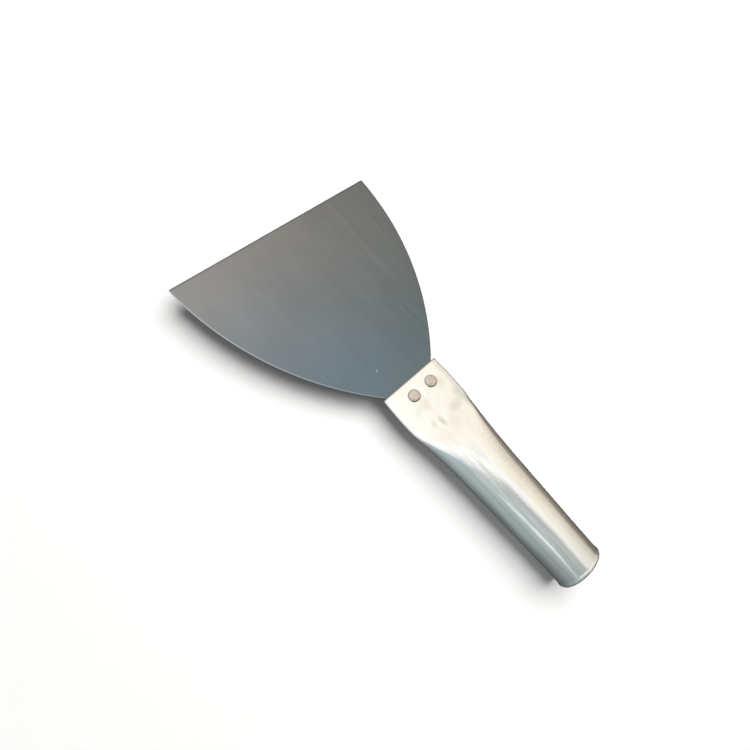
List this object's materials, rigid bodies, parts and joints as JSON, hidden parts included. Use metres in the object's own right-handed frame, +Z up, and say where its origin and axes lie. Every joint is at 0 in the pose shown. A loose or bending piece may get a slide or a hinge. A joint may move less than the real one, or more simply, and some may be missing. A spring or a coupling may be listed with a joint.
{
  "type": "putty knife",
  "caption": "Wide putty knife: a flat fan-shaped steel blade with a straight ground edge, riveted into the flattened mouth of a hollow tubular metal handle.",
  "frame": {"origin": "on the blade's mid-plane and the centreline, half way along the overall length: the centre of the part's bounding box", "axes": "+X across the blade, +Y along the tool from the butt to the cutting edge, +Z up through the blade's face on the side of the rivet heads"},
  "size_m": [0.1, 0.1914, 0.0216],
  "materials": {
    "blade_steel": "satin cold-rolled steel, fine lengthwise grain",
    "handle_metal": "bright drawn and pressed metal with handling scuffs",
    "rivet_metal": "dull upset rivet metal"
  },
  "bodies": {
    "root": {"blade": "blade_steel", "handle": "handle_metal", "rivet_left": "rivet_metal", "rivet_right": "rivet_metal"}
  },
  "joints": []
}
